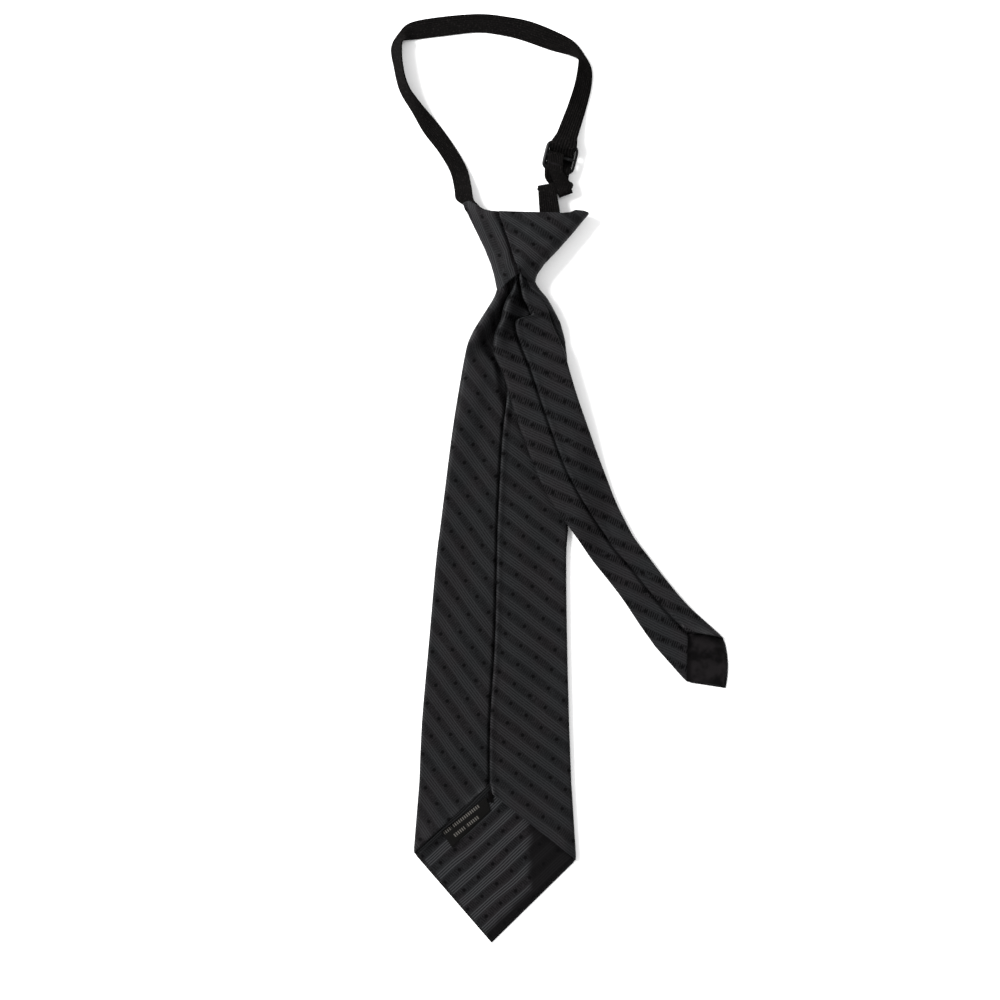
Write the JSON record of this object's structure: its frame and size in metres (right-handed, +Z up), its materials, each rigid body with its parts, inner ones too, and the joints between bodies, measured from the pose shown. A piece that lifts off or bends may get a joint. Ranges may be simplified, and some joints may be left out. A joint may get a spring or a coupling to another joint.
{
  "type": "pre-tied necktie",
  "caption": "Child's pre-tied necktie lying face down: wrapped knot, folded wide blade and tail, elastic neck strap with slide and hook.",
  "frame": {"origin": "middle of the outline's width and length, on the surface that the tie lies on", "axes": "+Z up from the surface, through the tie's back; +Y along the tie from the wide point to the neck strap; +X to the right in the picture"},
  "size_m": [0.1674, 0.464, 0.0136],
  "materials": {
    "tie_cloth": "charcoal jacquard with fine stripes and dots, soft sheen",
    "facing_satin": "plain black satin",
    "label_weave": "black woven label, no words",
    "ribbed_elastic": "black knitted elastic, ribbed lengthwise",
    "black_gloss": "glossy black"
  },
  "bodies": {
    "root": {"wide_blade": "tie_cloth", "wide_tipping": "tie_cloth", "label": "label_weave", "narrow_blade": "tie_cloth", "narrow_tipping": "facing_satin", "knot": "tie_cloth", "neck_strap": "ribbed_elastic", "short_strap": "ribbed_elastic", "slide_adjuster": "black_gloss", "hook_clasp": "black_gloss"}
  },
  "joints": []
}
